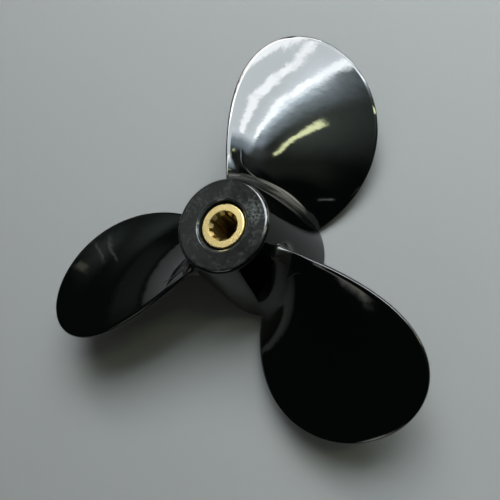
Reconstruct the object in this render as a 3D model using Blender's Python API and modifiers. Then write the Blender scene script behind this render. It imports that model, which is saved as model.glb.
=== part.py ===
"""Three-bladed propeller of a small outboard motor, in metres, +Z up.

The shaft axis is the Z axis. The part stands on the forward end of its hub, so
z = 0 is the forward rim and +Z points aft, where the propeller nut goes. The
first blade's generator line lies along +Y, and the other two follow at thirds
of a turn. It turns clockwise when seen from aft, as a right-hand propeller.
"""

import math

import bmesh
import bpy
import numpy as np
from mathutils import Matrix

# Driving dimensions of the propeller.
DIAMETER = 0.1905
BLADES = 3
TIP_RADIUS = DIAMETER / 2

# Hub casting, a tapered boss that is widest at its forward end.
HUB_LENGTH = 0.0523
HUB_FORWARD_RADIUS = 0.0264
HUB_AFT_RADIUS = 0.01885
HUB_BELLY = 0.0007
HUB_AFT_EDGE = 0.0018
HUB_FORWARD_EDGE = 0.0012
HUB_SEGMENTS = 60
HUB_ROWS = 6
EDGE_STEPS = 4

# Inside of the hub: mouth, bush seat, shoulder and the aft hole.
MOUTH_RADIUS = 0.0212
MOUTH_DEPTH = 0.0070
SEAT_RADIUS = 0.0165
SHOULDER_Z = 0.0430
AFT_HOLE_RADIUS = 0.0099
AFT_CHAMFER_WIDTH = 0.0018
AFT_CHAMFER_DEPTH = 0.0011
CUT_PAST = 0.0040

# Blade planform. Span fraction u runs from 0 at ROOT_RADIUS to 1 at the tip.
# Half the chord is sqrt(1 - u^2) times a cubic in u; the mid-chord is swept
# towards the trailing edge by SWEEP times u cubed.
ROOT_RADIUS = 0.0124
HALF_CHORD_CUBIC = (0.0216, 0.0233, 0.0312, -0.0180)
SWEEP = 0.0187

# Pitch, the advance in one turn, falls evenly from root to tip.
PITCH_AT_CENTRE = 0.2115
PITCH_AT_TIP = 0.1577

# Mid-chord height above the forward rim, and how far the tip is raked aft.
GENERATOR_Z = 0.0220
TIP_RAKE = 0.0022

# Blade sections: flat face aft, arched back forward, rounded edges. The arch
# fades out at the leading and trailing edges, and by ARCH_TIP_EASE at the tip.
ROOT_THICKNESS = 0.0072
TIP_THICKNESS = 0.0026
EDGE_THICKNESS = 0.0019
EDGE_NOSE = 0.0020
ARCH_TIP_EASE = 0.05

# Fillet between a blade and the hub. It lengthens the chord by a share of its
# size, tightens where the blade nears the forward rim, and runs a little way
# under the hub's surface so that the two meet in a clean line.
FILLET_RADIUS = 0.0060
FILLET_PAST_EDGES = 0.3
FILLET_RIM_GAP = 0.0005
FILLET_RIM_EASE = 0.75
FILLET_SINK = 0.0003
FLARE_PASSES = 4

# How finely each blade is lofted.
FILLET_ROWS = 11
BLADE_ROWS = 16
CHORD_STEPS = 14

# Splined sleeve and the rubber bush that it drives through.
SLEEVE_RADIUS = 0.0089
SLEEVE_FORWARD_Z = 0.0060
SLEEVE_AFT_Z = 0.0511
SLEEVE_CHAMFER = 0.0005
SPLINES = 10
SPLINE_PHASE = math.radians(2)
SPLINE_TIP_RADIUS = 0.0049
SPLINE_ROOT_RADIUS = 0.00595
SPLINE_GROOVE_WIDTH = 0.0015
BROACH_START_RADIUS = 0.0042
BORE_CHAMFER_RADIUS = 0.0062
SLEEVE_SEGMENTS = 60

BUSH_FORWARD_Z = 0.0085
BUSH_EDGE = 0.0010
FIT_GAP = 0.0003

# Faces that meet at more than this angle keep a sharp edge in the shading.
SHARP_ANGLE = math.radians(35)

# Colour, roughness and metallic value of each material.
BLACK_PAINT = ((0.012, 0.013, 0.013), 0.12, 0.0)
BRASS = ((0.78, 0.60, 0.28), 0.30, 1.0)
BLACK_RUBBER = ((0.020, 0.020, 0.021), 0.70, 0.0)


def clear_scene():
    """Remove every object that the file opened with."""
    for obj in list(bpy.data.objects):
        bpy.data.objects.remove(obj, do_unlink=True)


def new_collection(name):
    """Make a collection in the scene and return it."""
    collection = bpy.data.collections.new(name)
    bpy.context.scene.collection.children.link(collection)
    return collection


def new_material(name, look):
    """Make a Principled material from its colour, roughness and metallic value."""
    colour, roughness, metallic = look
    material = bpy.data.materials.new(name)
    material.use_nodes = True
    shader = material.node_tree.nodes["Principled BSDF"]
    shader.inputs["Base Color"].default_value = (*colour, 1.0)
    shader.inputs["Roughness"].default_value = roughness
    shader.inputs["Metallic"].default_value = metallic
    return material


def new_object(name, mesh, collection):
    """Put a mesh in the scene as an object of its own."""
    obj = bpy.data.objects.new(name, mesh)
    collection.objects.link(obj)
    return obj


def make_helper(obj):
    """Mark an object as one that only cuts or joins others."""
    obj.hide_render = True
    obj.display_type = "WIRE"


def edge_arc(radius, z, turn_from, turn_to, size):
    """Points of a rounded corner about (radius, z), between two angles in degrees."""
    angles = np.linspace(math.radians(turn_from), math.radians(turn_to), EDGE_STEPS + 1)
    return [(radius + size * math.cos(a), z + size * math.sin(a)) for a in angles]


def turned(name, profile, closed, segments, collection):
    """Turn a profile of (radius, z) points about Z, listed from aft down its outer side.

    A closed profile makes a ring, and an open one starts and ends on the axis.
    """
    mesh = bpy.data.meshes.new(name)
    points = [(radius, 0.0, z) for radius, z in profile]
    edges = [(i, i + 1) for i in range(len(points) - 1)]
    if closed:
        edges.append((len(points) - 1, 0))
    mesh.from_pydata(points, edges, [])
    obj = new_object(name, mesh, collection)
    screw = obj.modifiers.new("Turn", "SCREW")
    screw.axis = "Z"
    screw.angle = math.tau
    screw.steps = segments
    screw.render_steps = segments
    screw.use_merge_vertices = True
    screw.merge_threshold = 0.00001
    return obj


def hub_radius(z):
    """Outer radius of the hub at height z: a straight taper with a slight belly."""
    share = np.clip(np.asarray(z, float) / HUB_LENGTH, 0.0, 1.0)
    taper = HUB_FORWARD_RADIUS + (HUB_AFT_RADIUS - HUB_FORWARD_RADIUS) * share
    return taper + HUB_BELLY * 4 * share * (1 - share)


def hub_outline():
    """Outline of the solid hub, from the axis at the aft face to the axis at the rim."""
    aft, forward = HUB_AFT_EDGE, HUB_FORWARD_EDGE
    aft_centre = float(hub_radius(HUB_LENGTH - aft)) - aft
    forward_centre = float(hub_radius(forward)) - forward
    outline = [(0.0, HUB_LENGTH)]
    outline += edge_arc(aft_centre, HUB_LENGTH - aft, 90, 8, aft)
    side = np.linspace(HUB_LENGTH - aft, forward, HUB_ROWS + 1)[1:-1]
    outline += [(float(hub_radius(z)), float(z)) for z in side]
    outline += edge_arc(forward_centre, forward, 8, -90, forward)
    outline.append((0.0, 0.0))
    return outline


def bore_outline():
    """Outline of what is bored out of the hub, from aft to forward."""
    flare = AFT_CHAMFER_WIDTH / AFT_CHAMFER_DEPTH
    chamfer_radius = AFT_HOLE_RADIUS + AFT_CHAMFER_WIDTH + CUT_PAST * flare
    return [
        (0.0, HUB_LENGTH + CUT_PAST),
        (chamfer_radius, HUB_LENGTH + CUT_PAST),
        (AFT_HOLE_RADIUS, HUB_LENGTH - AFT_CHAMFER_DEPTH),
        (AFT_HOLE_RADIUS, SHOULDER_Z),
        (SEAT_RADIUS, SHOULDER_Z),
        (SEAT_RADIUS, MOUTH_DEPTH),
        (MOUTH_RADIUS, MOUTH_DEPTH),
        (MOUTH_RADIUS, -CUT_PAST),
        (0.0, -CUT_PAST),
    ]


def fillet_radius(z):
    """Radius of the root fillet, which tightens where the blade nears the forward rim."""
    return np.clip((z - FILLET_RIM_GAP) * FILLET_RIM_EASE, FILLET_SINK, FILLET_RADIUS)


def fillet_flare(radius, z, round_radius):
    """How far the blade's skin stands out where it runs into the hub, by a round fillet."""
    clear = (radius - hub_radius(z) + FILLET_SINK) / round_radius
    return round_radius * (1 - np.sqrt(1 - (1 - np.clip(clear, 0.0, 1.0)) ** 2))


def span_fractions():
    """Where the blade's sections lie: even over the root fillet, closer towards the tip."""
    span = TIP_RADIUS - ROOT_RADIUS
    fillet_start = (HUB_AFT_RADIUS - FILLET_SINK * 2 - ROOT_RADIUS) / span
    fillet_end = (HUB_FORWARD_RADIUS + FILLET_RADIUS - ROOT_RADIUS) / span
    over_fillet = np.linspace(fillet_start, fillet_end, FILLET_ROWS, endpoint=False)
    turn = np.linspace(math.asin(fillet_end), math.pi / 2, BLADE_ROWS + 1)[:-1]
    return np.concatenate([[0.0], over_fillet, np.sin(turn)])


def section_stations():
    """Chord stations round a section, and which side of the blade each lies on.

    They run from the leading edge (1) over the aft face to the trailing edge
    (-1), and return over the forward back. Aft is 1 and forward is -1.
    """
    face = np.cos(np.linspace(0.0, math.pi, CHORD_STEPS + 1))
    stations = np.concatenate([face, face[-2:0:-1]])
    sides = np.concatenate([np.ones(CHORD_STEPS + 1), -np.ones(CHORD_STEPS - 1)])
    return stations, sides


def blade_points(u, station, side):
    """Points of the blade's skin at span fraction u, with its generator line along +Y.

    Each section lies on a cylinder about the shaft axis. Along its chord,
    towards the leading edge, a point turns clockwise seen from aft and moves
    forward with the pitch helix; its height off the chord is at right angles
    to the helix, on the same cylinder.
    """
    span = TIP_RADIUS - ROOT_RADIUS
    radius = ROOT_RADIUS + span * u
    half_chord = sum(c * u**i for i, c in enumerate(HALF_CHORD_CUBIC))
    x = station * np.sqrt(1 - u**2)
    along = x * half_chord - SWEEP * u**3
    pitch = PITCH_AT_CENTRE + (PITCH_AT_TIP - PITCH_AT_CENTRE) * radius / TIP_RADIUS
    helix = np.arctan2(pitch, math.tau * radius)

    slope = 2 * np.sqrt((x / half_chord) ** 2 + (u / span) ** 2)
    from_edge = (1 - x**2 - u**2) / np.maximum(slope, 1.0)
    thickness = ROOT_THICKNESS + (TIP_THICKNESS - ROOT_THICKNESS) * u
    arch = (thickness - EDGE_THICKNESS) * (1 - x**2 / (1 + ARCH_TIP_EASE - u**2))
    half = EDGE_THICKNESS / 2 + np.where(side < 0, arch, 0.0)
    middle_z = GENERATOR_Z + TIP_RAKE * u**3
    root_round = fillet_radius(middle_z - along * np.sin(helix))
    flare = 0.0
    for _ in range(FLARE_PASSES):
        share = np.clip(from_edge / (EDGE_NOSE + flare), 0.0, 1.0)
        height = side * (half + flare) * np.sqrt(1 - (1 - share) ** 2)
        reach = along + x * flare * FILLET_PAST_EDGES
        z = middle_z - reach * np.sin(helix) + height * np.cos(helix)
        flare = fillet_flare(radius, z, root_round)
    angle = math.pi / 2 - (reach * np.cos(helix) + height * np.sin(helix)) / radius
    return np.stack([radius * np.cos(angle), radius * np.sin(angle), z], axis=-1)


def blade_mesh(name):
    """Loft one blade through its sections, closed at the root and at the tip."""
    station, side = section_stations()
    rings = blade_points(span_fractions()[:, None], station[None, :], side[None, :])
    tip = blade_points(np.array(1.0), np.array(0.0), np.array(1.0))
    build = bmesh.new()
    rows = [[build.verts.new(point) for point in ring] for ring in rings]
    count = len(station)
    for inner, outer in zip(rows, rows[1:]):
        for j in range(count):
            k = (j + 1) % count
            build.faces.new((inner[j], outer[j], outer[k], inner[k]))
    point = build.verts.new(tip)
    for j in range(count):
        build.faces.new((rows[-1][j], point, rows[-1][(j + 1) % count]))
    build.faces.new(rows[0])
    bmesh.ops.recalc_face_normals(build, faces=build.faces)
    mesh = bpy.data.meshes.new(name)
    build.to_mesh(mesh)
    build.free()
    return mesh


def add_boolean(obj, other, operation):
    """Join or cut obj with another object."""
    boolean = obj.modifiers.new(other.name, "BOOLEAN")
    boolean.operation = operation
    boolean.solver = "EXACT"
    boolean.object = other


def finish(obj):
    """Apply the modifiers, then shade smooth except across the real edges."""
    graph = bpy.context.evaluated_depsgraph_get()
    mesh = bpy.data.meshes.new_from_object(obj.evaluated_get(graph))
    obj.modifiers.clear()
    obj.data = mesh
    mesh.name = obj.name
    mesh.shade_smooth()
    mesh.set_sharp_from_angle(angle=SHARP_ANGLE)


def build_casting(parts, helpers, paint):
    """Hub and blades, which are poured as one casting and bored out."""
    casting = turned("hub_and_blades_casting", hub_outline(), False, HUB_SEGMENTS, parts)
    casting.data.materials.append(paint)
    mesh = blade_mesh("blade")
    for index in range(BLADES):
        blade = new_object(f"blade_form_{index + 1}", mesh, helpers)
        blade.rotation_euler.z = index * math.tau / BLADES
        make_helper(blade)
        add_boolean(casting, blade, "UNION")
    bore = turned("hub_bore_cutter", bore_outline(), False, HUB_SEGMENTS, helpers)
    make_helper(bore)
    add_boolean(casting, bore, "DIFFERENCE")
    finish(casting)


def build_bush(parts, rubber):
    """Rubber bush, pressed into the hub's seat against its shoulder."""
    outer, inner = SEAT_RADIUS - FIT_GAP, SLEEVE_RADIUS + FIT_GAP
    aft, forward = SHOULDER_Z - FIT_GAP, BUSH_FORWARD_Z
    profile = [
        (inner, aft),
        (outer - BUSH_EDGE, aft),
        (outer, aft - BUSH_EDGE),
        (outer, forward + BUSH_EDGE),
        (outer - BUSH_EDGE, forward),
        (inner + BUSH_EDGE / 2, forward),
        (inner, forward + BUSH_EDGE / 2),
    ]
    bush = turned("rubber_bush", profile, True, HUB_SEGMENTS, parts)
    bush.data.materials.append(rubber)
    finish(bush)


def spline_cutter(helpers):
    """The broach that cuts the grooves: equal bars round the shaft axis."""
    build = bmesh.new()
    length = SLEEVE_AFT_Z - SLEEVE_FORWARD_Z + 2 * CUT_PAST
    depth = SPLINE_ROOT_RADIUS - BROACH_START_RADIUS
    bar_radius = (SPLINE_ROOT_RADIUS + BROACH_START_RADIUS) / 2
    bar_z = (SLEEVE_AFT_Z + SLEEVE_FORWARD_Z) / 2
    for index in range(SPLINES):
        bar = bmesh.ops.create_cube(build, size=1.0)["verts"]
        bmesh.ops.scale(build, vec=(depth, SPLINE_GROOVE_WIDTH, length), verts=bar)
        bmesh.ops.translate(build, vec=(bar_radius, 0.0, bar_z), verts=bar)
        turn = Matrix.Rotation(SPLINE_PHASE + index * math.tau / SPLINES, 3, "Z")
        bmesh.ops.rotate(build, cent=(0, 0, 0), matrix=turn, verts=bar)
    mesh = bpy.data.meshes.new("spline_cutter")
    build.to_mesh(mesh)
    build.free()
    cutter = new_object("spline_cutter", mesh, helpers)
    make_helper(cutter)
    return cutter


def build_sleeve(parts, helpers, brass):
    """Brass sleeve that slides on the shaft's splines."""
    radius, chamfer = SLEEVE_RADIUS, SLEEVE_CHAMFER
    tip, mouth = SPLINE_TIP_RADIUS, BORE_CHAMFER_RADIUS
    aft, forward = SLEEVE_AFT_Z, SLEEVE_FORWARD_Z
    profile = [
        (mouth, aft),
        (radius - chamfer, aft),
        (radius, aft - chamfer),
        (radius, forward + chamfer),
        (radius - chamfer, forward),
        (mouth, forward),
        (tip, forward + mouth - tip),
        (tip, aft - (mouth - tip)),
    ]
    sleeve = turned("splined_sleeve", profile, True, SLEEVE_SEGMENTS, parts)
    sleeve.data.materials.append(brass)
    add_boolean(sleeve, spline_cutter(helpers), "DIFFERENCE")
    finish(sleeve)


def main():
    """Build the propeller's three pieces."""
    clear_scene()
    parts = new_collection("outboard_propeller")
    helpers = new_collection("cutters_and_forms")
    paint = new_material("black_paint", BLACK_PAINT)
    brass = new_material("brass", BRASS)
    rubber = new_material("black_rubber", BLACK_RUBBER)
    build_casting(parts, helpers, paint)
    build_bush(parts, rubber)
    build_sleeve(parts, helpers, brass)


main()
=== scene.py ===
"""Looks of a small outboard motor's propeller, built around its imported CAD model.

The painted casting and the splined sleeve are new pieces that stand for their CAD
nodes, worked out as closed surfaces from the same sizes on a finer grid. The rubber
bush keeps its CAD mesh. All sizes are in metres in the CAD frame: +Z is the shaft
axis, aft, z = 0 is the hub's forward rim and the first blade points along +Y.
"""

import logging
import math
from dataclasses import dataclass
from enum import Enum
from typing import Any, Optional, Sequence

import bmesh
import bpy
import numpy as np
from mathutils import Matrix, Quaternion, Vector

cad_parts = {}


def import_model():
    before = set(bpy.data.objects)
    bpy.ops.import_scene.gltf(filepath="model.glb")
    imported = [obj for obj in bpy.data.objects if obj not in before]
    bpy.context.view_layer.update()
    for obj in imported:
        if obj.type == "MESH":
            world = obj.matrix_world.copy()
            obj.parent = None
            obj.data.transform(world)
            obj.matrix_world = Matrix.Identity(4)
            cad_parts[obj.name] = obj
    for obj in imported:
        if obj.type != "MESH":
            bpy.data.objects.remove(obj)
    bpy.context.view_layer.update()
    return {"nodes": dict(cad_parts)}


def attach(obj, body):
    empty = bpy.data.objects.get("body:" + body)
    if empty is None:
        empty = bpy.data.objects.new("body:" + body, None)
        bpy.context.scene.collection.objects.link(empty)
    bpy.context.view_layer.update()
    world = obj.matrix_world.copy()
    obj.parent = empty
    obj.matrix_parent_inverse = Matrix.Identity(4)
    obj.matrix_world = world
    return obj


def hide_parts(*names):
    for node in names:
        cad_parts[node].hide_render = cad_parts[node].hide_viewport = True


LOG = logging.getLogger("propeller")
BODY = "root"
WELD = 1e-6
Array = np.ndarray
Socket = bpy.types.NodeSocket
Pair = tuple[float, float]
Point = tuple[float, float, float]
Colour = tuple[float, float, float]
Noise = tuple[float, ...]


class Slot(Enum):
    """The record's material slots."""

    PAINT = "black_paint"
    RUBBER = "black_rubber"
    BRASS = "brass"


class Side(Enum):
    """The two sides of a blade section."""

    AFT_FACE = 1.0
    FORWARD_BACK = -1.0


# Shader maths


class Value:
    """An output socket on which Python's operators add Math nodes."""

    def __init__(self, nodes: "Nodes", socket: Socket) -> None:
        """Wrap a socket.

        Args:
            nodes: the node tree's builder.
            socket: the output socket to wrap.
        """
        self.nodes = nodes
        self.socket = socket

    def _math(self, operation: str, first: Any, second: Any = 0.0) -> "Value":
        """One Math node's result."""
        sockets = {0: first, 1: second}
        node = self.nodes.add("ShaderNodeMath", {"operation": operation}, sockets)
        return Value(self.nodes, node.outputs[0])

    def __add__(self, other: Any) -> "Value":
        """Sum."""
        return self._math("ADD", self, other)

    __radd__ = __add__

    def __mul__(self, other: Any) -> "Value":
        """Product."""
        return self._math("MULTIPLY", self, other)

    __rmul__ = __mul__

    def __sub__(self, other: Any) -> "Value":
        """Difference."""
        return self._math("SUBTRACT", self, other)

    def __rsub__(self, other: Any) -> "Value":
        """Difference, with this value taken from a number."""
        return self._math("SUBTRACT", other, self)

    def __gt__(self, other: Any) -> "Value":
        """1 where this value is the greater, else 0."""
        return self._math("GREATER_THAN", self, other)

    def __abs__(self) -> "Value":
        """Size without the sign."""
        return self._math("ABSOLUTE", self)

    def sine(self) -> "Value":
        """Sine."""
        return self._math("SINE", self)

    def root(self) -> "Value":
        """Square root."""
        return self._math("SQRT", self)

    def at_least(self, limit: float) -> "Value":
        """This value, or the limit where that is the greater."""
        return self._math("MAXIMUM", self, limit)

    def angle_from(self, x: "Value") -> "Value":
        """Angle of the direction (x, this value), in radians."""
        return self._math("ARCTAN2", self, x)

    def between(self, low: float, high: float) -> "Value":
        """The number that lies this share of the way from low to high."""
        return self * (high - low) + low

    def ramp(self, start: float, end: float) -> "Value":
        """A smooth rise from 0 at start to 1 at end, or a fall where end is the lower.

        Args:
            start: where the result is 0.
            end: where the result is 1.

        Returns:
            The value between 0 and 1.
        """
        low, high = min(start, end), max(start, end)
        node = self.nodes.add(
            "ShaderNodeMapRange",
            {"interpolation_type": "SMOOTHSTEP"},
            {"Value": self, "From Min": low, "From Max": high},
        )
        rise = Value(self.nodes, node.outputs[0])
        return rise if end > start else 1.0 - rise


class Nodes:
    """Adds nodes to one tree, each by its type, its settings and its sockets' values."""

    def __init__(self, tree: bpy.types.NodeTree) -> None:
        """Start on a tree.

        Args:
            tree: the node tree of a material or of a light.
        """
        self.tree = tree

    def add(self, kind: str, settings: dict[str, Any], sockets: dict[Any, Any]) -> bpy.types.Node:
        """Add a node, set it up, then fill or link its sockets.

        Args:
            kind: Blender's name of the node type.
            settings: the node's own properties, set first.
            sockets: for each input's name or number, a plain value, a Value or a socket.

        Returns:
            The node.
        """
        node = self.tree.nodes.new(kind)
        for name, setting in settings.items():
            setattr(node, name, setting)
        self.fill(node, sockets)
        return node

    def fill(self, node: bpy.types.Node, sockets: dict[Any, Any]) -> None:
        """Set a node's inputs to plain values, or link outputs to them.

        Args:
            node: the node.
            sockets: as for add.
        """
        for key, content in sockets.items():
            entry = node.inputs[key]
            if isinstance(content, Value):
                content = content.socket
            if isinstance(content, Socket):
                self.tree.links.new(content, entry)
            elif isinstance(content, tuple) and entry.type == "RGBA":
                entry.default_value = (*content, 1.0)
            else:
                entry.default_value = content

    def place(self) -> Socket:
        """Where a point is on the object, in metres."""
        return self.add("ShaderNodeTexCoord", {}, {}).outputs["Object"]

    def split(self, vector: Socket) -> tuple[Value, Value, Value]:
        """The three parts of a vector."""
        node = self.add("ShaderNodeSeparateXYZ", {}, {0: vector})
        x, y, z = (Value(self, out) for out in node.outputs)
        return x, y, z

    def join(self, x: Any, y: Any, z: Any) -> Socket:
        """A vector from its three parts."""
        return self.add("ShaderNodeCombineXYZ", {}, {0: x, 1: y, 2: z}).outputs[0]

    def distance(self, vector: Any, point: Point) -> Value:
        """How far a place is from a point, in metres."""
        settings, sockets = {"operation": "DISTANCE"}, {0: vector, 1: point}
        return Value(self, self.add("ShaderNodeVectorMath", settings, sockets).outputs["Value"])

    def from_axis(self, x: Value, y: Value) -> Value:
        """How far a place is from the shaft axis, in metres."""
        return self.distance(self.join(x, y, 0.0), (0.0, 0.0, 0.0))

    def noise(self, vector: Any, size: float, detail: float = 2.0, rough: float = 0.5) -> Value:
        """Soft noise between 0 and 1.

        Args:
            vector: the coordinates.
            size: how large a patch of it is, in the coordinates' unit.
            detail: how many finer layers it has.
            rough: how strong the finer layers are.

        Returns:
            The noise.
        """
        sockets = {"Vector": vector, "Scale": 1.0 / size, "Detail": detail, "Roughness": rough}
        return Value(self, self.add("ShaderNodeTexNoise", {}, sockets).outputs[0])

    def specks(self, vector: Any, spacing: float, radius: float, share: float,
               core: float = 0.3) -> Value:
        """Small round dots, one in some cells of a random pattern.

        Args:
            vector: the coordinates.
            spacing: size of a cell, in the coordinates' unit.
            radius: radius of a dot, in the same unit.
            share: the share of the cells that have a dot.
            core: the share of the radius inside a dot's soft edge.

        Returns:
            1 in a dot and 0 outside it.
        """
        node = self.add("ShaderNodeTexVoronoi", {}, {"Vector": vector, "Scale": 1.0 / spacing})
        chosen = self.split(node.outputs["Color"])[0] > 1.0 - share
        away = Value(self, node.outputs["Distance"])
        return chosen * away.ramp(radius / spacing, core * radius / spacing)

    def blend(self, share: Any, first: Any, second: Any) -> Socket:
        """A colour between two others: the first at share 0, the second at share 1."""
        node = self.add("ShaderNodeMix", {"data_type": "RGBA"}, {0: share, 6: first, 7: second})
        return node.outputs[2]

    def bump(self, height: Value, depth: float = 1.0) -> Socket:
        """A normal from a height.

        Args:
            height: the height.
            depth: what a height of 1 stands for, in metres.

        Returns:
            The bent normal.
        """
        sockets = {"Height": height, "Distance": depth, "Strength": 1.0}
        return self.add("ShaderNodeBump", {}, sockets).outputs[0]


# Finishes


class Finish:
    """What a piece's surface is like."""

    name: str

    def inputs(self, nodes: Nodes) -> dict[str, Any]:
        """Work out the finish.

        Args:
            nodes: the builder of its material's tree.

        Returns:
            What the Principled shader's inputs are given, by their names.
        """
        raise NotImplementedError

    def material(self) -> bpy.types.Material:
        """Build the material.

        Returns:
            The material.
        """
        material = bpy.data.materials.new(self.name)
        material.use_nodes = True
        nodes = Nodes(material.node_tree)
        nodes.fill(material.node_tree.nodes["Principled BSDF"], self.inputs(nodes))
        return material


@dataclass(frozen=True)
class PaintFinish(Finish):
    """Gloss black paint over a cast surface, scuffed dull on the aft end face.

    Sizes, places and depths are in metres. A noise is its size, its detail and its
    roughness, specks are their spacing, radius and share, and a relief is a noise's size
    and its depth. Levels, radii, heights and distances clear of the hub's side, in pairs,
    say where a mask starts and where it is full. Gloss and dull are roughnesses. The
    blades wave gently, as sand-cast metal does under paint, with fine streaks round the
    shaft from its sanding: so many to a metre of radius, a radian and a metre of height.
    The hollows of the root fillets are satin and painted a slightly lighter greenish grey, a
    painted sheen.
    """

    name: str = "gloss_black_paint"
    colour: Colour = (0.0003, 0.0005, 0.0004)
    refraction: float = 1.35
    gloss: Pair = (0.045, 0.080)
    smudge: Noise = (0.022, 3.0)
    smudge_levels: Pair = (0.35, 0.75)

    face_z: Pair = (0.0519, 0.0522)
    # a slightly lighter greenish grey over the aft face's -x side
    face_side_tone: Colour = (0.0030, 0.0035, 0.0030)
    face_side_x: Pair = (0.003, -0.007)
    # lighter grey of scuffs, also used for the painted reflection spot beside the sleeve
    scuff_and_sheen: Colour = (0.0300, 0.0335, 0.0318)
    dull: Pair = (0.11, 0.36)
    mottle: Noise = (0.0015, 7.0, 0.80)
    mottle_levels: Pair = (0.34, 0.76)
    mottle_depth: float = 0.000004
    patch: Noise = (0.0060, 2.0)
    patch_levels: Pair = (0.34, 0.74)
    patch_wear: float = 0.38
    # a lighter spot beside the sleeve: partly scuffing, partly a painted reflection
    sheen_spot_centre: Point = (0.0095, 0.0093, 0.0523)
    sheen_spot_radius: float = 0.0078
    sheen_spot_gain: float = 1.40
    least_wear: float = 0.09
    chips: Point = (0.0042, 0.00022, 0.16)
    chip_share: float = 0.5

    lip_radius: Pair = (0.0113, 0.0110)
    lip_z: Pair = (0.0485, 0.0510)
    lip_wear: Colour = (0.010, 0.011, 0.011)
    lip_levels: Pair = (0.25, 0.60)
    inside_clear: Pair = (-0.0008, -0.0014)
    inside_z: Pair = (0.0485, 0.0470)
    inside_levels: Pair = (0.3, 0.8)
    inside_share: float = 0.5

    dust: Colour = (0.07, 0.07, 0.06)
    dust_specks: Point = (0.0075, 0.00014, 0.20)
    dust_share: float = 0.6
    dust_dull: float = 0.3

    hub_radius: float = 0.0264
    hub_taper: float = 0.1443
    hollow_clear: Pair = (0.0006, 0.0016)
    hollow_radius: Pair = (0.0272, 0.0262)
    # painted sheen: a lighter greenish grey in the root fillets' hollows
    hollow_painted_sheen: Colour = (0.0045, 0.0046, 0.0040)
    hollow_dull: float = 0.12

    blade_radius: Pair = (0.0275, 0.040)
    reliefs: tuple[Pair, ...] = (
        (0.0120, 0.000080), (0.0050, 0.000015), (0.0024, 0.0000085), (0.0010, 0.0000024))
    streaks: Point = (2300.0, 7.0, 160.0)
    streak_depth: float = 0.0000035
    crease_radius: float = 0.0266
    crease_z: float = 0.0376
    crease_round: float = 0.0070
    crease_half_width: float = 0.00045
    crease_height: float = 0.000036
    crease_end: Pair = (0.0385, 0.0345)

    def clear_of_side(self, radius: Value, z: Value) -> Value:
        """How far out of the hub's straight tapered side a point lies."""
        return radius + z * self.hub_taper - self.hub_radius

    def crease(self, radius: Value, z: Value) -> Value:
        """The low ridge where the root fillet meets the blade.

        In the plane of radius and z it is the border of a quarter plane with a rounded
        corner, so it turns up near the leading edge. The ridge's height is (1 - t^2)^2,
        t being the distance from the border over the ridge's half width.

        Args:
            radius: distance from the shaft axis.
            z: height over the forward rim.

        Returns:
            The ridge's height in metres.
        """
        across = (radius * -1.0 + (self.crease_radius + self.crease_round)).at_least(0.0)
        along = (z + (self.crease_round - self.crease_z)).at_least(0.0)
        far = (across * across + along * along).root() - self.crease_round
        share = far * (1.0 / self.crease_half_width)
        bump = (1.0 - share * share).at_least(0.0)
        return bump * bump * radius.ramp(*self.crease_end) * self.crease_height

    def inputs(self, nodes: Nodes) -> dict[str, Any]:
        """The paint's colour, wear, dust and relief."""
        place = nodes.place()
        x, y, z = nodes.split(place)
        radius = nodes.from_axis(x, y)
        clear = self.clear_of_side(radius, z)
        lip = radius.ramp(*self.lip_radius) * z.ramp(*self.lip_z)
        face = 1.0 - (1.0 - z.ramp(*self.face_z)) * (1.0 - lip)
        inside = clear.ramp(*self.inside_clear) * z.ramp(*self.inside_z)
        hollow = clear.ramp(*self.hollow_clear) * radius.ramp(*self.hollow_radius)
        matt = face + inside

        mottle = nodes.noise(place, *self.mottle)
        patches = nodes.noise(place, *self.patch).ramp(*self.patch_levels)
        # lighter spot right of the sleeve: partly scuffing, partly a painted reflection
        sheen_spot = nodes.distance(place, self.sheen_spot_centre).ramp(self.sheen_spot_radius, 0.0)
        wear_and_sheen = patches * self.patch_wear + sheen_spot * self.sheen_spot_gain + self.least_wear
        worn_and_sheen = mottle.ramp(*self.mottle_levels) * wear_and_sheen
        lip_worn = lip * mottle.ramp(*self.lip_levels)
        inside_worn = inside * mottle.ramp(*self.inside_levels) * self.inside_share
        chips = nodes.specks(place, *self.chips)
        dust = nodes.specks(place, *self.dust_specks)

        # painted sheen: lighter greenish grey in the root fillets' hollows
        colour = nodes.blend(hollow, self.colour, self.hollow_painted_sheen)
        # aft face a little lighter greenish grey towards -x
        colour = nodes.blend(face * x.ramp(*self.face_side_x), colour, self.face_side_tone)
        # scuffed mottle on the aft face, with the painted reflection spot in it
        colour = nodes.blend(face * worn_and_sheen, colour, self.scuff_and_sheen)
        colour = nodes.blend(lip_worn, colour, self.lip_wear)
        colour = nodes.blend(face * chips * self.chip_share, colour, self.dust)
        colour = nodes.blend(inside_worn, colour, self.scuff_and_sheen)
        colour = nodes.blend(dust * self.dust_share, colour, self.dust)

        smudge = nodes.noise(place, *self.smudge).ramp(*self.smudge_levels)
        glossy, dulled = smudge.between(*self.gloss), worn_and_sheen.between(*self.dull)
        rough = glossy * (1.0 - matt) + dulled * matt
        rough = rough + dust * self.dust_dull + hollow * self.hollow_dull

        blade = radius.ramp(*self.blade_radius)
        across, round_shaft, up = self.streaks
        sanding = nodes.join(radius * across, y.angle_from(x) * round_shaft, z * up)
        height = nodes.noise(sanding, 1.0) * blade * self.streak_depth
        height = height + mottle * matt * self.mottle_depth + self.crease(radius, z)
        for size, depth in self.reliefs:
            height = height + nodes.noise(place, size) * blade * depth
        return {"Base Color": colour, "Roughness": rough, "Normal": nodes.bump(height),
                "IOR": self.refraction}


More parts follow.
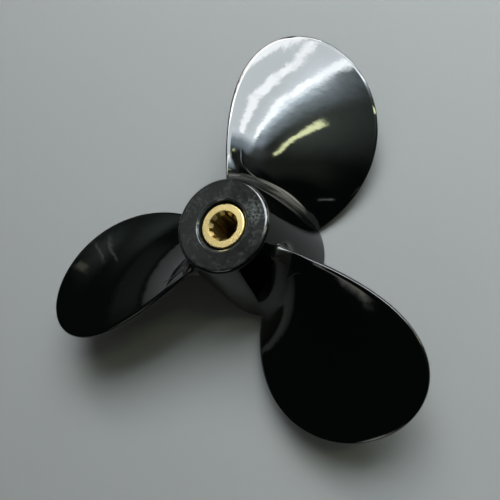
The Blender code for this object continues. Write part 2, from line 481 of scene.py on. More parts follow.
@dataclass(frozen=True)
class BrassFinish(Finish):
    """Turned brass, bright on its end faces and stained in the bore.

    The noise, levels and radii are given as in the paint, and rough is a roughness. The
    streaks run along the bore, so many to a metre of x, y and z, and their height there
    is in depths of the turning rings.
    """

    name: str = "turned_brass"
    colour: Colour = (0.72, 0.575, 0.265)
    warm: Colour = (0.66, 0.52, 0.225)
    stain: Colour = (0.42, 0.31, 0.12)
    stain_levels: Pair = (0.3, 0.7)
    stain_share: float = 0.75
    rough: Pair = (0.24, 0.32)
    cloud: Noise = (0.003, 3.0)
    cloud_levels: Pair = (0.35, 0.7)
    mouth_radius: Pair = (0.00625, 0.00615)
    mouth_dull: float = 0.03
    bore_radius: Pair = (0.00615, 0.00575)
    streaks: Point = (2500.0, 2500.0, 120.0)
    streak_height: float = 1.6
    ring_pitch: float = 0.00022
    ring_depth: float = 0.0000010

    def inputs(self, nodes: Nodes) -> dict[str, Any]:
        """The brass's clouds, stain, streaks and rings."""
        place = nodes.place()
        x, y, z = nodes.split(place)
        radius = nodes.from_axis(x, y)
        cloud = nodes.noise(place, *self.cloud)
        scaled = (part * scale for part, scale in zip((x, y, z), self.streaks))
        streak = nodes.noise(nodes.join(*scaled), 1.0)
        bore = radius.ramp(*self.bore_radius)

        colour = nodes.blend(cloud.ramp(*self.cloud_levels), self.colour, self.warm)
        stained = nodes.blend(streak.ramp(*self.stain_levels), self.stain, self.warm)
        colour = nodes.blend(bore * self.stain_share, colour, stained)
        mouth = radius.ramp(*self.mouth_radius)
        rough = cloud.between(*self.rough) + mouth * self.mouth_dull

        rings = (radius * (math.tau / self.ring_pitch)).sine() * 0.5
        height = rings * (1.0 - bore) + streak * bore * self.streak_height
        return {"Base Color": colour, "Roughness": rough, "Metallic": 1.0,
                "Normal": nodes.bump(height, self.ring_depth)}


@dataclass(frozen=True)
class RubberFinish(Finish):
    """Moulded black rubber with a fine grain and a grey bloom."""

    name: str = "moulded_rubber"
    colour: Colour = (0.016, 0.016, 0.017)
    bloom: Colour = (0.050, 0.050, 0.048)
    bloom_levels: Pair = (0.45, 0.8)
    bloom_share: float = 0.6
    cloud: Noise = (0.004, 4.0, 0.6)
    rough: Pair = (0.62, 0.80)
    grain_size: float = 0.00035
    grain_depth: float = 0.00003

    def inputs(self, nodes: Nodes) -> dict[str, Any]:
        """The rubber's bloom and grain."""
        place = nodes.place()
        cloud = nodes.noise(place, *self.cloud)
        grain = nodes.noise(place, self.grain_size)
        bloomed = cloud.ramp(*self.bloom_levels) * self.bloom_share
        return {"Base Color": nodes.blend(bloomed, self.colour, self.bloom),
                "Roughness": cloud.between(*self.rough),
                "Normal": nodes.bump(grain, self.grain_depth)}


@dataclass(frozen=True)
class FloorFinish(Finish):
    """Plain pale matt floor."""

    name: str = "pale_floor"
    colour: Colour = (0.092, 0.0925, 0.0915)
    roughness: float = 0.9

    def inputs(self, nodes: Nodes) -> dict[str, Any]:
        """One colour and one roughness."""
        return {"Base Color": self.colour, "Roughness": self.roughness}


# Surfaces


def from_polar(radius: Array, angle: Array, z: Array) -> Array:
    """Points (r cos a, r sin a, z), for arrays that spread over each other."""
    return np.stack(np.broadcast_arrays(radius * np.cos(angle), radius * np.sin(angle), z), axis=-1)


def turned_grid(profile: Array, angles: Array) -> Array:
    """Turn a profile of radius and height rows about Z, with a column at each angle."""
    return from_polar(profile[:, :1], angles, profile[:, 1:])


def rounded_outline(corners: Sequence[Point], steps: int = 6) -> Array:
    """Round the corners of an open outline, with points set beside each arc.

    Each corner is replaced by an arc that touches both of its straights at the distance
    radius x tan(half the turn) from it. A point on the arc is the centre plus the two
    end spokes, weighted by the sines of the angles left and passed over the sine of the
    whole turn. The points beside an arc keep the shading of the straights flat.

    Args:
        corners: radius from the axis, height and edge radius of each corner. The outline's
            two ends stay as they are, whatever their edge radius.
        steps: how many straight pieces an arc has.

    Returns:
        Radius and height of each point of the outline.
    """
    place = np.array([corner[:2] for corner in corners])
    points = [place[0]]
    for before, here, after, corner in zip(place, place[1:], place[2:], corners[1:]):
        to_here, to_after = here - before, after - here
        to_here, to_after = to_here / np.hypot(*to_here), to_after / np.hypot(*to_after)
        turn = math.acos(float(np.clip(to_here @ to_after, -1.0, 1.0)))
        reach = corner[2] * math.tan(turn / 2)
        start, end = here - to_here * reach, here + to_after * reach
        inward = to_after - to_here
        centre = here + inward / np.hypot(*inward) * corner[2] / math.cos(turn / 2)
        passed = np.linspace(0.0, turn, steps + 1)[:, None]
        spokes = (start - centre) * np.sin(turn - passed) + (end - centre) * np.sin(passed)
        arc = centre + spokes / math.sin(turn)
        beside = min(reach, corner[2]) / 2
        points += [start - to_here * beside, *arc, end + to_after * beside]
    points.append(place[-1])
    return np.array(points)


class Shell:
    """Grids of points that close round on themselves, welded into one closed mesh."""

    def __init__(self) -> None:
        """Start with no grids."""
        self.points: list[Array] = []
        self.faces: list[Array] = []
        self.count = 0

    def add(self, grid: Array) -> None:
        """Add a grid with a face between each four neighbours, its last column next to its first.

        Args:
            grid: rows by columns by 3.
        """
        rows, columns = grid.shape[:2]
        index = np.arange(rows * columns).reshape(rows, columns) + self.count
        index = np.concatenate([index, index[:, :1]], axis=1)
        quads = np.stack(
            [index[:-1, :-1], index[1:, :-1], index[1:, 1:], index[:-1, 1:]], axis=-1)
        self.points.append(grid.reshape(-1, 3))
        self.faces.append(quads.reshape(-1, 4))
        self.count += rows * columns

    def mesh(self, name: str) -> bpy.types.Mesh:
        """Weld the grids into a mesh whose faces point outwards.

        Args:
            name: the mesh's name.

        Returns:
            The mesh, shaded smooth.
        """
        points, faces = np.concatenate(self.points), np.concatenate(self.faces)
        mesh = bpy.data.meshes.new(name)
        mesh.from_pydata(points.tolist(), [], faces.tolist())
        build = bmesh.new()
        build.from_mesh(mesh)
        bmesh.ops.remove_doubles(build, verts=build.verts, dist=WELD)
        bmesh.ops.dissolve_degenerate(build, edges=build.edges, dist=WELD)
        bmesh.ops.recalc_face_normals(build, faces=build.faces)
        open_edges = sum(not edge.is_manifold for edge in build.edges)
        if open_edges:
            LOG.warning("%s has %d edges that are not closed", name, open_edges)
        build.to_mesh(mesh)
        build.free()
        mesh.shade_smooth()
        return mesh


def new_object(name: str, data: bpy.types.ID) -> bpy.types.Object:
    """Make an object and link it to the scene."""
    obj = bpy.data.objects.new(name, data)
    bpy.context.scene.collection.objects.link(obj)
    return obj


def add_piece(name: str, mesh: bpy.types.Mesh, finish: Finish, node: str) -> None:
    """Put a piece in the scene in place of a CAD node.

    Args:
        name: the piece's name.
        mesh: its mesh, already in its place.
        finish: its finish.
        node: the CAD node that it stands for.
    """
    mesh.materials.append(finish.material())
    piece = new_object(name, mesh)
    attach(piece, BODY)
    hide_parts(node)
    LOG.info("%s: %d faces, stands for %s", name, len(mesh.polygons), node)


# Casting


@dataclass(frozen=True)
class HubForm:
    """Sizes of the hub, as in the CAD model but for its hole's smaller chamfer.

    An edge is the radius that it is rounded to.
    """

    length: float = 0.0523
    forward_radius: float = 0.0264
    aft_radius: float = 0.01885
    belly: float = 0.0007
    aft_edge: float = 0.0018
    forward_edge: float = 0.0012
    mouth_radius: float = 0.0212
    mouth_depth: float = 0.0070
    seat_radius: float = 0.0165
    shoulder_z: float = 0.0430
    aft_hole_radius: float = 0.0099
    chamfer_width: float = 0.0008
    chamfer_depth: float = 0.00065
    inner_edge: float = 0.0004
    lean_step: float = 1e-5

    def radius(self, z: Array) -> Array:
        """Outer radius at height z: a straight taper plus a belly, 4 s (1 - s) high at share s."""
        share = np.clip(np.asarray(z, float) / self.length, 0.0, 1.0)
        taper = self.forward_radius + (self.aft_radius - self.forward_radius) * share
        return taper + self.belly * 4 * share * (1 - share)

    def lean(self, z: float) -> float:
        """Angle by which the side's outward normal leans aft at height z."""
        ahead, behind = self.radius(np.array([z + self.lean_step, z - self.lean_step]))
        return math.atan(float(behind - ahead) / (2 * self.lean_step))

    @property
    def side_aft_z(self) -> float:
        """Height at which the side meets the rounded aft edge."""
        start = self.length - self.aft_edge
        return self.length - self.aft_edge * (1 - math.sin(self.lean(start)))

    @property
    def side_forward_z(self) -> float:
        """Height at which the side meets the rounded forward edge."""
        return self.forward_edge * (1 + math.sin(self.lean(self.forward_edge)))

    def edge(self, z: float, size: float, end: float, steps: int = 14) -> Array:
        """Rounded edge that leaves the side at height z as an arc of one radius.

        Args:
            z: height at which it leaves the side.
            size: the edge's radius.
            end: direction of the arc's normal at its end, in radians.
            steps: how many straight pieces it has.

        Returns:
            Radius and height of its points, from the side on.
        """
        start = self.lean(z)
        side = float(self.radius(np.array(z)))
        centre = (side - size * math.cos(start), z - size * math.sin(start))
        angle = np.linspace(start, end, steps + 1)
        return np.stack([np.cos(angle), np.sin(angle)], axis=-1) * size + centre

    def inner_outline(self) -> Array:
        """Outline from the side over the aft edge, through the bore and back up the forward edge.

        Returns:
            Radius and height of its points.
        """
        aft = self.edge(self.side_aft_z, self.aft_edge, math.pi / 2)
        forward = self.edge(self.side_forward_z, self.forward_edge, -math.pi / 2)[::-1]
        small = self.inner_edge
        bore = rounded_outline([
            (*aft[-1], 0.0),
            (self.aft_hole_radius + self.chamfer_width, aft[-1][1], small),
            (self.aft_hole_radius, self.length - self.chamfer_depth, small),
            (self.aft_hole_radius, self.shoulder_z, small / 2),
            (self.seat_radius, self.shoulder_z, small),
            (self.seat_radius, self.mouth_depth, small / 2),
            (self.mouth_radius, self.mouth_depth, small),
            (self.mouth_radius, 0.0, small),
            (*forward[0], 0.0),
        ])
        return np.concatenate([aft[:-1], bore, forward[1:]])


@dataclass(frozen=True)
class BladeForm:
    """Sizes of a blade and its skin.

    They are as in the CAD model but for the bevel inside its edge, the edge's rounding
    and the fillet's start near the forward rim.
    """

    hub: HubForm = HubForm()
    tip_radius: float = 0.09525
    root_radius: float = 0.0124
    half_chord: tuple[float, float, float, float] = (0.0216, 0.0233, 0.0312, -0.0180)
    sweep: float = 0.0187
    pitch_at_centre: float = 0.2115
    pitch_at_tip: float = 0.1577
    generator_z: float = 0.0220
    tip_rake: float = 0.0022
    root_thickness: float = 0.0072
    tip_thickness: float = 0.0026
    edge_thickness: float = 0.0019
    edge_round: float = 0.0004
    edge_round_gain: float = 1.20
    bevel_width: float = 0.0015
    bevel_drop: float = 0.00028
    bevel_power: float = 1.2
    root_bevel: Pair = (0.0046, 0.00045)
    root_bevel_end: Pair = (0.17, 0.28)
    arch_tip_ease: float = 0.05
    fillet: float = 0.0060
    fillet_least: float = 0.0002
    fillet_past_edges: float = 0.3
    fillet_rim_gap: float = 0.0018
    fillet_rim_ease: float = 0.75
    fillet_blend: float = 0.0015
    first_span: float = 0.15
    rounds: int = 30

    @property
    def span(self) -> float:
        """Length of the blade from the root radius, inside the hub, to the tip."""
        return self.tip_radius - self.root_radius

    def fillet_radius(self, z: Array) -> Array:
        """Root fillet's radius at height z.

        It grows with the height above the forward rim up to its full size. Where the two
        differ by less than the blend, a parabola takes the place of the corner.
        """
        slope = np.maximum((z - self.fillet_rim_gap) * self.fillet_rim_ease, self.fillet_least)
        near = np.maximum(self.fillet_blend - np.abs(slope - self.fillet), 0.0)
        return np.minimum(slope, self.fillet) - near**2 / (4 * self.fillet_blend)

    def skin(self, u: Array, station: Array, side: Array, flare_share: Any) -> tuple[Array, ...]:
        """The blade's skin at span fraction u and chord station, both from the CAD model's law.

        A section lies on a cylinder about the shaft axis. Half the chord is a cubic in u
        times sqrt(1 - u^2), its middle is swept back by u cubed, and the chord follows the
        pitch helix. The thickness stands at right angles to the helix: an even edge
        thickness, an arch on the forward back, a shallow bevel inside the edge that
        is wider towards the root, and an elliptical nose round the edge.
        The flare, a share of the root fillet's radius, thickens and lengthens the section.

        Args:
            u: span fraction, 0 at the root radius and 1 at the tip.
            station: 1 at the leading edge to -1 at the trailing edge.
            side: 1 for the aft face, -1 for the forward back.
            flare_share: share of the fillet's radius by which the skin stands out.

        Returns:
            Radius, angle and height of each point, and the fillet's radius there.
        """
        radius = self.root_radius + self.span * u
        half_chord = sum(c * u**i for i, c in enumerate(self.half_chord))
        x = station * np.sqrt(np.maximum(1 - u**2, 0.0))
        along = x * half_chord - self.sweep * u**3
        pitch_gain = (self.pitch_at_tip - self.pitch_at_centre) / self.tip_radius
        helix = np.arctan2(self.pitch_at_centre + pitch_gain * radius, math.tau * radius)
        slope = 2 * np.sqrt((x / half_chord) ** 2 + (u / self.span) ** 2)
        from_edge = (1 - x**2 - u**2) / np.maximum(slope, 1.0)
        thickness = self.root_thickness + (self.tip_thickness - self.root_thickness) * u
        arch = (thickness - self.edge_thickness) * (1 - x**2 / (1 + self.arch_tip_ease - u**2))
        half = self.edge_thickness / 2 + np.where(side < 0, arch, 0.0)
        middle_z = self.generator_z + self.tip_rake * u**3
        start, end = self.root_bevel_end
        share = np.clip((end - u) / (end - start), 0.0, 1.0)
        near_root = share**2 * (3 - 2 * share)
        width = self.bevel_width + self.root_bevel[0] * near_root
        drop = self.bevel_drop + self.root_bevel[1] * near_root
        in_bevel = np.clip(1 - from_edge / width, 0.0, 1.0)
        bevel = np.where(side > 0, drop, self.bevel_drop) * in_bevel**self.bevel_power

        def lay(flare: Any) -> tuple[Array, ...]:
            """Distances along and across the chord, and the height, for one flare."""
            share = np.clip(from_edge / (self.edge_round + self.edge_round_gain * flare), 0.0, 1.0)
            across = side * (half - bevel + flare) * np.sqrt(1 - (1 - share) ** 2)
            reach = along + x * flare * self.fillet_past_edges
            return reach, across, middle_z - reach * np.sin(helix) + across * np.cos(helix)

        fillet = self.fillet_radius(lay(0.0)[2])
        reach, across, z = lay(flare_share * fillet)
        angle = math.pi / 2 - (reach * np.cos(helix) + across * np.sin(helix)) / radius
        return radius, angle, z, fillet

    def span_on_fillet(self, turn: Array, station: Array, side: Array) -> Array:
        """Span fraction at which the skin stands on the root fillet's circle.

        At the circle's angle t, the skin is fillet x (1 - cos t) clear of the hub and
        flares by fillet x (1 - sin t). The height that both depend on changes little with
        the span, so repeating the sum settles it.

        Args:
            turn: angle on the fillet, 0 where it touches the hub.
            station: chord station.
            side: side of the section.

        Returns:
            Span fraction of each point.
        """
        u = np.full(np.broadcast(turn, station).shape, self.first_span)
        for _ in range(self.rounds):
            _, _, z, fillet = self.skin(u, station, side, 1 - np.sin(turn))
            clear = fillet * (1 - np.cos(turn))
            u = (self.hub.radius(z) + clear - self.root_radius) / self.span
        return u


@dataclass
class Casting:
    """Hub and three blades, one painted casting."""

    finish: PaintFinish = PaintFinish()
    hub: HubForm = HubForm()
    blade: BladeForm = BladeForm()
    blades: int = 3
    chord_steps: int = 96
    fillet_rows: int = 14
    blade_rows: int = 72
    hub_rows: int = 22
    hub_row_power: float = 1.4
    centre_angle: float = math.radians(91.15)
    centre_z: float = 0.0228
    twist: float = math.radians(90.0)

    def stations(self) -> tuple[Array, Array]:
        """Chord stations round a section from the leading edge over the aft face, and their sides.

        They are the cosines of even angles, which lie close together at the two edges.
        """
        turn = np.arange(2 * self.chord_steps) * math.pi / self.chord_steps
        aft = np.arange(2 * self.chord_steps) <= self.chord_steps
        side = np.where(aft, Side.AFT_FACE.value, Side.FORWARD_BACK.value)
        return np.cos(turn), side

    def blade_grid(self) -> tuple[Array, Array]:
        """Skin of the first blade, from the line where its fillet touches the hub to the tip.

        Over the fillet the rows are even in the circle's angle. Beyond it they are even in
        the arc sine of the span fraction, so that they close up towards the tip.

        Returns:
            Points as rows by columns by 3, and the angle and height of the first row.
        """
        station, side = self.stations()
        turn = np.linspace(0.0, math.pi / 2, self.fillet_rows + 1)[:, None]
        on_fillet = self.blade.span_on_fillet(turn, station, side)
        first = np.arcsin(on_fillet[-1])
        share = np.linspace(0.0, 1.0, self.blade_rows + 1)[1:, None]
        u = np.concatenate([on_fillet, np.sin(first + (math.pi / 2 - first) * share)])
        flare = np.concatenate([1 - np.sin(turn), np.zeros_like(share)])
        radius, angle, z, _ = self.blade.skin(u, station, side, flare)
        return from_polar(radius, angle, z), np.stack([angle[0], z[0]], axis=-1)

    def middle_angle(self, z: Array) -> Array:
        """Angle of the line that runs along the first blade's root, even in z."""
        height = self.hub.side_aft_z - self.hub.side_forward_z
        return self.centre_angle + (z - self.centre_z) * self.twist / height

    def sector_edge(self) -> Array:
        """Border of the hub's side that belongs to the first blade, a third of a turn wide.

        It has a point for each chord station: half of the forward edge, one long side,
        the aft edge, the other long side, and the rest of the forward edge.

        Returns:
            Angle and height of each point.
        """
        half = math.pi / self.blades
        quarter = self.chord_steps // 4
        low, high = self.hub.side_forward_z, self.hub.side_aft_z
        out = np.arange(quarter) / quarter
        rise = low + (high - low) * np.arange(2 * quarter) / (2 * quarter)
        across = np.concatenate([-half * out, np.full(2 * quarter, -half), -half * (1 - out)])
        z = np.concatenate([np.full(quarter, low), rise, np.full(quarter, high)])
        across = np.concatenate([across, [0.0], -across[:0:-1]])
        z = np.concatenate([z, [high], z[:0:-1]])
        return np.stack([self.middle_angle(z) + across, z], axis=-1)

    def hub_grid(self, root: Array) -> Array:
        """The hub's side round a blade: straight lines on the unrolled side, to its border.

        Args:
            root: angle and height of the points where the fillet touches the hub.

        Returns:
            Points as rows by columns by 3.
        """
        even = np.linspace(0.0, 1.0, self.hub_rows + 1)[:, None, None]
        share = even**self.hub_row_power
        angle, z = np.moveaxis(root * (1 - share) + self.sector_edge() * share, -1, 0)
        return from_polar(self.hub.radius(z), angle, z)

    def build(self) -> bpy.types.Mesh:
        """Weld the blades, the hub's side and the turned bore into one closed mesh."""
        shell = Shell()
        blade, root = self.blade_grid()
        for grid in (blade, self.hub_grid(root)):
            for index in range(self.blades):
                turn = np.array(Matrix.Rotation(index * math.tau / self.blades, 3, "Z"))
                shell.add(grid @ turn.T)
        columns = self.blades * self.chord_steps // 2
        start = float(self.middle_angle(np.array(self.hub.side_aft_z)))
        angles = start + np.arange(columns) * math.tau / columns
        shell.add(turned_grid(self.hub.inner_outline(), angles))
        return shell.mesh("painted_casting")

    def dress(self) -> None:
        """Build the casting, paint it and put it in the place of its CAD node."""
        add_piece("painted_casting", self.build(), self.finish,
                  "hub_and_blades_casting")


# Sleeve and bush


@dataclass
class Sleeve:
    """Brass sleeve with grooves that slide on the propeller shaft's splines."""

    finish: BrassFinish = BrassFinish()
    radius: float = 0.0089
    forward_z: float = 0.0060
    aft_z: float = 0.0511
    chamfer: float = 0.0003
    edge: float = 0.00012
    splines: int = 10
    phase: float = math.radians(2.0)
    tip_radius: float = 0.0049
    root_radius: float = 0.00595
    groove_width: float = 0.0015
    mouth_radius: float = 0.0062
    mouth_slope: float = 1.20
    groove_steps: int = 6
    land_steps: int = 10
    mouth_rows: int = 8
    bore_rows: int = 25
    sharp_angle: float = math.radians(25)

    def groove_angle(self, radius: Array) -> Array:
        """Half the angle of a groove: the arc sine of half its width over the radius."""
        return np.arcsin(self.groove_width / 2 / np.minimum(radius, self.root_radius))

    def bore_grid(self, profile: Array) -> Array:
        """Bore with its grooves.

        A land follows the profile of the chamfered bore. A groove's floor follows it too,
        down to the root radius and no further. Both are spread evenly over their angles,
        so the last column of a land and the first of a groove stand at the same angle
        with the groove's flank between them.

        Args:
            profile: radius and height of the land's rows.

        Returns:
            Points as rows by columns by 3.
        """
        radius, z = profile[:, :1], profile[:, 1:]
        floor = np.maximum(radius, self.root_radius)
        pitch = math.tau / self.splines
        groove = np.linspace(-1.0, 1.0, self.groove_steps + 1)
        land = np.linspace(0.0, 1.0, self.land_steps + 1)
        half = self.groove_angle(radius)
        turns = np.concatenate(
            [groove * self.groove_angle(floor), half + (pitch - 2 * half) * land], axis=1)
        radii = np.concatenate([floor + 0 * groove, radius + 0 * land], axis=1)
        starts = self.phase + np.arange(self.splines)[:, None, None] * pitch
        angle = np.concatenate(list(starts + turns), axis=1)
        return from_polar(np.tile(radii, (1, self.splines)), angle, z)

    def build(self) -> bpy.types.Mesh:
        """Weld the bore, with its sloped mouths, to the turned outside."""
        aft, forward, cut = self.aft_z, self.forward_z, self.chamfer
        tip, mouth, edge = self.tip_radius, self.mouth_radius, self.edge
        slope = np.linspace(self.root_radius, tip, self.mouth_rows)
        sunk = (mouth - slope) * self.mouth_slope
        aft_rows = np.stack([slope, aft - sunk], axis=-1)
        forward_rows = np.stack([slope, forward + sunk], axis=-1)[::-1]
        middle = np.linspace(aft_rows[-1], forward_rows[0], self.bore_rows)[1:-1]
        bore = np.concatenate([[(mouth, aft)], aft_rows, middle, forward_rows, [(mouth, forward)]])
        outside = rounded_outline([
            (mouth, aft, 0.0),
            (self.radius - cut, aft, edge),
            (self.radius, aft - cut, edge),
            (self.radius, forward + cut, edge),
            (self.radius - cut, forward, edge),
            (mouth, forward, 0.0),
        ])
        grid = self.bore_grid(bore)
        rim = grid[0]
        shell = Shell()
        shell.add(grid)
        shell.add(turned_grid(outside, np.arctan2(rim[:, 1], rim[:, 0])))
        mesh = shell.mesh("splined_brass_sleeve")
        mesh.set_sharp_from_angle(angle=self.sharp_angle)
        return mesh

    def dress(self) -> None:
        """Build the sleeve and put it in the place of its CAD node."""
        add_piece("splined_brass_sleeve", self.build(), self.finish, "splined_sleeve")


@dataclass
class Bush:
    """Rubber bush, which keeps its CAD mesh."""

    finish: RubberFinish = RubberFinish()
    node: str = "rubber_bush"

    def dress(self, nodes: dict[str, bpy.types.Object]) -> None:
        """Give the CAD node its finish.

        Args:
            nodes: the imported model's nodes by name.
        """
        obj = nodes[self.node]
        obj.data.materials.clear()
        obj.data.materials.append(self.finish.material())
        LOG.info("%s keeps its CAD mesh", self.node)


# Studio


@dataclass(frozen=True)
class SoftLight:
    """A rectangular light with feathered edges.

    Its radiance is even over its middle and falls smoothly to nothing over the feather, a
    share of each half side. It lies level and shines down, with its first side along its
    heading in degrees, or stands with its first side level and faces a point.
    """

    name: str
    centre: Point
    size: Pair
    radiance: float
    heading: float = 0.0
    facing: Optional[Point] = None
    colour: Colour = (1.0, 1.0, 1.0)
    feather: Pair = (0.10, 0.25)

    def turn(self) -> Quaternion:
        """Which way the light is turned."""
        if self.facing is None:
            return Quaternion((0.0, 0.0, 1.0), math.radians(self.heading))
        return (Vector(self.facing) - Vector(self.centre)).to_track_quat("-Z", "Y")

    def add(self) -> None:
        """Put the light in the scene."""
        light = bpy.data.lights.new(self.name, "AREA")
        light.shape = "RECTANGLE"
        light.size, light.size_y = self.size
        light.energy = self.radiance * math.pi * self.size[0] * self.size[1]
        light.color = self.colour
        light.use_nodes = True
        nodes = Nodes(light.node_tree)
        where = nodes.add("ShaderNodeNewGeometry", {}, {}).outputs["Parametric"]
        shares = nodes.split(where)[:2]
        edges = [abs(share - 0.5).ramp(0.5, 0.5 - 0.5 * width)
                 for share, width in zip(shares, self.feather)]
        nodes.fill(light.node_tree.nodes["Emission"], {"Strength": edges[0] * edges[1]})
        obj = new_object(self.name, light)
        obj.location = self.centre
        obj.rotation_euler = self.turn().to_euler()


LIGHTS: tuple[SoftLight, ...] = (
    SoftLight("panel", (0.0752, 0.8069, 1.0), (1.40, 0.65), 23.0, heading=53.0,
              colour=(0.88, 0.96, 1.0), feather=(0.40, 0.10)),
    SoftLight("panel_glow", (0.41, 0.69, 0.985), (1.2, 0.40), 10.0, heading=49.6,
              colour=(0.74, 0.89, 1.0), feather=(0.5, 1.0)),
    SoftLight("panel_edge_glow", (0.347, 0.627, 0.987), (0.70, 0.13), 11.0, heading=53.0,
              colour=(0.80, 0.92, 1.0), feather=(0.4, 1.0)),
    SoftLight("panel_end_glow", (0.5485, 1.302, 0.99), (0.74, 0.70), 8.0, heading=53.0,
              colour=(0.70, 0.86, 1.0), feather=(1.0, 0.5)),
    SoftLight("haze", (0.85, 1.15, 1.01), (0.9, 0.9), 1.6, heading=53.0,
              colour=(0.85, 0.97, 1.0), feather=(1.0, 1.0)),
    SoftLight("far_haze", (1.4, 1.9, 1.04), (1.8, 1.6), 0.40, heading=53.0,
              colour=(0.9, 1.0, 0.95), feather=(0.8, 0.8)),
    SoftLight("overhead_glow", (0.46, 0.36, 1.02), (1.3, 0.9), 1.5, heading=50.0,
              colour=(0.85, 1.0, 0.92), feather=(1.0, 1.0)),
    SoftLight("overhead", (1.0, 0.80, 1.03), (2.2, 1.9), 0.34, heading=50.0,
              colour=(0.9, 1.0, 0.85), feather=(0.5, 0.6)),
    SoftLight("strip_near", (0.381, 0.765, 0.98), (0.56, 0.066), 17.0, heading=48.8,
              feather=(0.03, 0.25)),
    SoftLight("strip_near_end", (0.141, 0.449, 0.98), (0.28, 0.046), 18.0, heading=58.0),
    SoftLight("strip_far", (0.244, 0.933, 0.98), (0.50, 0.100), 17.0, heading=51.7,
              feather=(0.03, 0.25)),
    SoftLight("strip_far_mid", (0.079, 0.682, 0.98), (0.175, 0.078), 18.0, heading=71.0),
    SoftLight("strip_far_end", (0.049, 0.570, 0.98), (0.090, 0.045), 19.0, heading=77.0),
    SoftLight("strip_far_tip", (0.012, 0.510, 0.98), (0.090, 0.045), 19.0, heading=42.0),
    SoftLight("strip_third", (-0.105, 0.62, 0.98), (0.32, 0.075), 17.0, heading=108.0,
              feather=(0.2, 0.5)),
    SoftLight("warm_strip", (0.680, 0.527, 1.0), (0.74, 0.066), 31.0, heading=39.2,
              colour=(0.94, 1.0, 0.56), feather=(0.05, 0.3)),
    SoftLight("rim_panel", (-0.42, 0.84, 0.99), (0.50, 0.26), 36.0, heading=-8.0,
              feather=(0.2, 0.3)),
    SoftLight("rim_panel_back", (-0.22, 1.03, 0.98), (0.28, 0.24), 30.0, heading=19.7,
              feather=(0.3, 0.4)),
    SoftLight("horizon_card", (-0.13, 1.49, 0.25), (1.1, 0.34), 4.5,
              facing=(0.0, 0.0, 0.04), feather=(0.4, 0.4)),
    SoftLight("low_panel", (0.37, 0.54, 0.060), (0.38, 0.22), 8.0,
              facing=(0.0, 0.0, 0.04), colour=(1.0, 0.99, 0.88), feather=(0.5, 0.5)),
    SoftLight("bounce", (-0.55, 0.05, 1.05), (1.3, 1.0), 0.52,
              colour=(1.0, 0.99, 0.95), feather=(0.6, 0.6)),
    SoftLight("front_fill", (0.033, -0.953, 0.80), (0.64, 0.36), 3.8,
              facing=(0.0, 0.0, 0.04), colour=(1.0, 1.0, 0.9), feather=(0.35, 0.6)),
    SoftLight("left_haze", (-1.75, 1.95, 1.02), (2.8, 2.8), 0.50,
              colour=(0.85, 1.0, 0.95), feather=(1.0, 1.0)),
    SoftLight("left_glow", (-1.50, 0.75, 1.01), (0.90, 0.80), 0.45,
              colour=(0.85, 1.0, 0.90), feather=(1.0, 1.0)),
    SoftLight("left_card", (-2.85, 1.05, 0.50), (2.4, 0.95), 0.085,
              facing=(0.0, 0.0, 0.03), colour=(0.85, 1.0, 0.90), feather=(0.6, 0.5)),
    SoftLight("right_bar", (1.22, -0.57, 1.0), (0.56, 0.030), 5.0, feather=(0.4, 0.5)),
    SoftLight("left_bar", (-1.55, 0.685, 1.0), (0.50, 0.030), 0.9, heading=169.8,
              feather=(0.3, 0.5)),
    SoftLight("left_bar_far", (-1.75, 0.87, 1.0), (0.93, 0.035), 0.9, heading=166.4,
              feather=(0.3, 0.5)),
    SoftLight("left_patch", (-1.50, 0.50, 1.0), (0.22, 0.09), 1.1, heading=160.0,
              colour=(1.0, 1.0, 0.75), feather=(0.6, 0.8)),
    SoftLight("warm_spot", (0.41, 1.05, 0.64), (0.07, 0.05), 20.0,
              facing=(0.0, 0.04, 0.04), colour=(0.95, 1.0, 0.50), feather=(0.8, 0.8)),
)


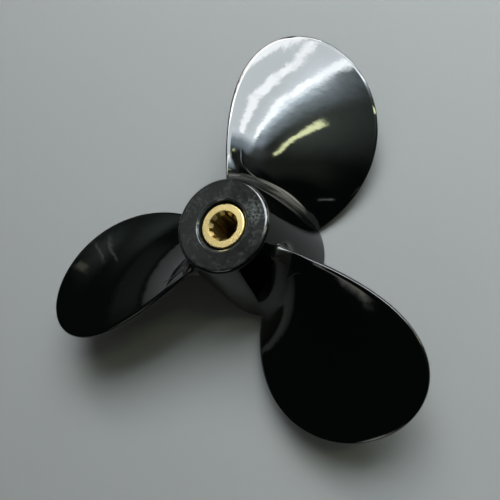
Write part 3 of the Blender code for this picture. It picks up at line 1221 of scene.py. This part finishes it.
@dataclass
class Studio:
    """Pale floor, soft lights and the camera."""

    floor_finish: FloorFinish = FloorFinish()
    floor_half: float = 4.0
    surround: Colour = (0.020, 0.021, 0.022)
    camera_place: Point = (0.1149223, -0.0190020, 0.2440200)
    camera_right: Point = (0.81364434, 0.46287692, -0.35174969)
    camera_up: Point = (-0.39379147, 0.88390672, 0.25226412)
    lens: float = 42.4606
    sensor: float = 36.0
    clip: Pair = (0.01, 50.0)
    shift: Pair = (-0.034221, 0.021368)
    lights: tuple[SoftLight, ...] = LIGHTS

    def add_floor(self) -> None:
        """A plain floor in the plane that the hub's forward rim stands on."""
        square = np.array([[-1, -1, 0], [1, -1, 0], [1, 1, 0], [-1, 1, 0]]) * self.floor_half
        mesh = bpy.data.meshes.new("floor")
        mesh.from_pydata(square.tolist(), [], [(0, 1, 2, 3)])
        mesh.materials.append(self.floor_finish.material())
        floor = new_object("floor", mesh)

    def add_surround(self) -> None:
        """An even dim surrounding."""
        world = bpy.data.worlds.new("surround")
        bpy.context.scene.world = world
        world.use_nodes = True
        background = world.node_tree.nodes["Background"]
        Nodes(world.node_tree).fill(background, {"Color": self.surround, "Strength": 1.0})

    def add_camera(self) -> None:
        """The camera at the photograph's viewing angle, with its off-centre framing as shift."""
        camera = bpy.data.cameras.new("camera")
        camera.lens = self.lens
        camera.sensor_width = self.sensor
        camera.shift_x, camera.shift_y = self.shift
        camera.clip_start, camera.clip_end = self.clip
        obj = new_object("camera", camera)
        right, up = Vector(self.camera_right), Vector(self.camera_up)
        turn = Matrix((right, up, right.cross(up))).transposed()
        obj.matrix_world = Matrix.Translation(self.camera_place) @ turn.to_4x4()
        bpy.context.scene.camera = obj

    def build(self) -> None:
        """Set up the floor, the surroundings, the lights and the camera."""
        self.add_floor()
        self.add_surround()
        for light in self.lights:
            light.add()
        self.add_camera()
        bpy.context.scene.view_settings.view_transform = "Standard"
        LOG.info("studio with %d lights", len(self.lights))


def corners(bounds: tuple[Vector, Vector]) -> list[list[float]]:
    """A box's lowest and highest corner as plain lists."""
    return [list(corner) for corner in bounds]


def main() -> None:
    """Build each sub-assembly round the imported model."""
    logging.basicConfig(level=logging.INFO, format="%(name)s: %(message)s")
    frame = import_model()
    Studio().build()
    Casting().dress()
    Sleeve().dress()
    Bush().dress(frame["nodes"])


if __name__ == "__main__":
    main()
